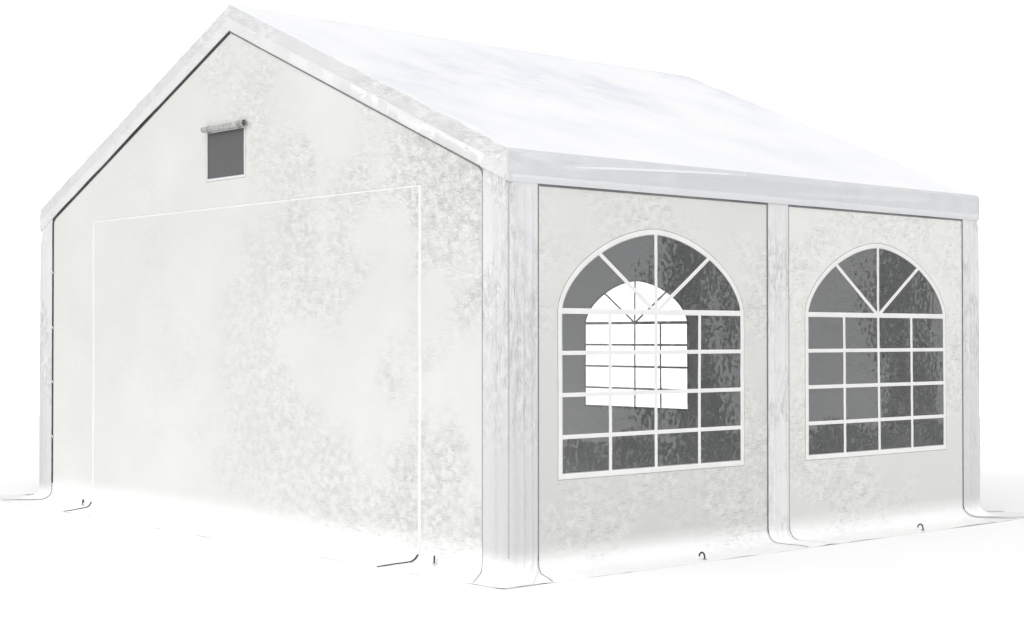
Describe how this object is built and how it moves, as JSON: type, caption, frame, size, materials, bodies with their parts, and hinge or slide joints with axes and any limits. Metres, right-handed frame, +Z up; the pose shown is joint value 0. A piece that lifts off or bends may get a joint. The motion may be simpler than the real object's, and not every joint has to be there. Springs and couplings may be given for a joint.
{
  "type": "marquee tent",
  "caption": "White gabled marquee tent with a zipped door gable, arched film windows, a screened vent in each gable and a ground skirt, hung over a bolted steel tube frame.",
  "frame": {"origin": "on the ground, in the middle of the tent's plan, under the middle of the ridge", "axes": "+X to the right across the door gable as seen from outside it, +Y from the door gable to the back gable along the ridge, +Z up"},
  "size_m": [5.6, 4.6, 3.0979],
  "materials": {
    "galvanised_steel": "galvanised, matt grey",
    "roof_fabric": "white coated fabric, soft sheen",
    "wall_fabric": "white coated fabric, crinkled, soft sheen",
    "cover_fabric": "white coated fabric, glossy, vertical folds",
    "window_film": "clear soft film, glossy, rippled",
    "vent_mesh": "fine dark insect mesh"
  },
  "bodies": {
    "root": {"post_front_left": "galvanised_steel", "post_front_right": "galvanised_steel", "post_middle_left": "galvanised_steel", "post_middle_right": "galvanised_steel", "post_back_left": "galvanised_steel", "post_back_right": "galvanised_steel", "eave_joint_front_left": "galvanised_steel", "eave_joint_front_right": "galvanised_steel", "eave_joint_middle_left": "galvanised_steel", "eave_joint_middle_right": "galvanised_steel", "eave_joint_back_left": "galvanised_steel", "eave_joint_back_right": "galvanised_steel", "rafter_front_left": "galvanised_steel", "rafter_front_right": "galvanised_steel", "rafter_middle_left": "galvanised_steel", "rafter_middle_right": "galvanised_steel", "rafter_back_left": "galvanised_steel", "rafter_back_right": "galvanised_steel", "ridge_joint_front": "galvanised_steel", "ridge_joint_middle": "galvanised_steel", "ridge_joint_back": "galvanised_steel", "ridge_rail_front": "galvanised_steel", "ridge_rail_back": "galvanised_steel", "eave_rail_front_left": "galvanised_steel", "eave_rail_front_right": "galvanised_steel", "eave_rail_back_left": "galvanised_steel", "eave_rail_back_right": "galvanised_steel", "roof_cover": "roof_fabric", "side_wall_front_left": "wall_fabric", "side_wall_front_right": "wall_fabric", "side_wall_back_left": "wall_fabric", "side_wall_back_right": "wall_fabric", "front_wall": "wall_fabric", "door_flap": "wall_fabric", "back_wall": "wall_fabric", "vent_flap_roll_front": "wall_fabric", "vent_flap_roll_back": "wall_fabric", "post_cover_front_left": "cover_fabric", "post_cover_front_right": "cover_fabric", "post_cover_middle_left": "cover_fabric", "post_cover_middle_right": "cover_fabric", "post_cover_back_left": "cover_fabric", "post_cover_back_right": "cover_fabric", "window_film_front_left": "window_film", "window_film_front_right": "window_film", "window_film_back_left": "window_film", "window_film_back_right": "window_film", "window_film_back": "window_film", "vent_mesh_front": "vent_mesh", "vent_mesh_back": "vent_mesh"}
  },
  "joints": []
}
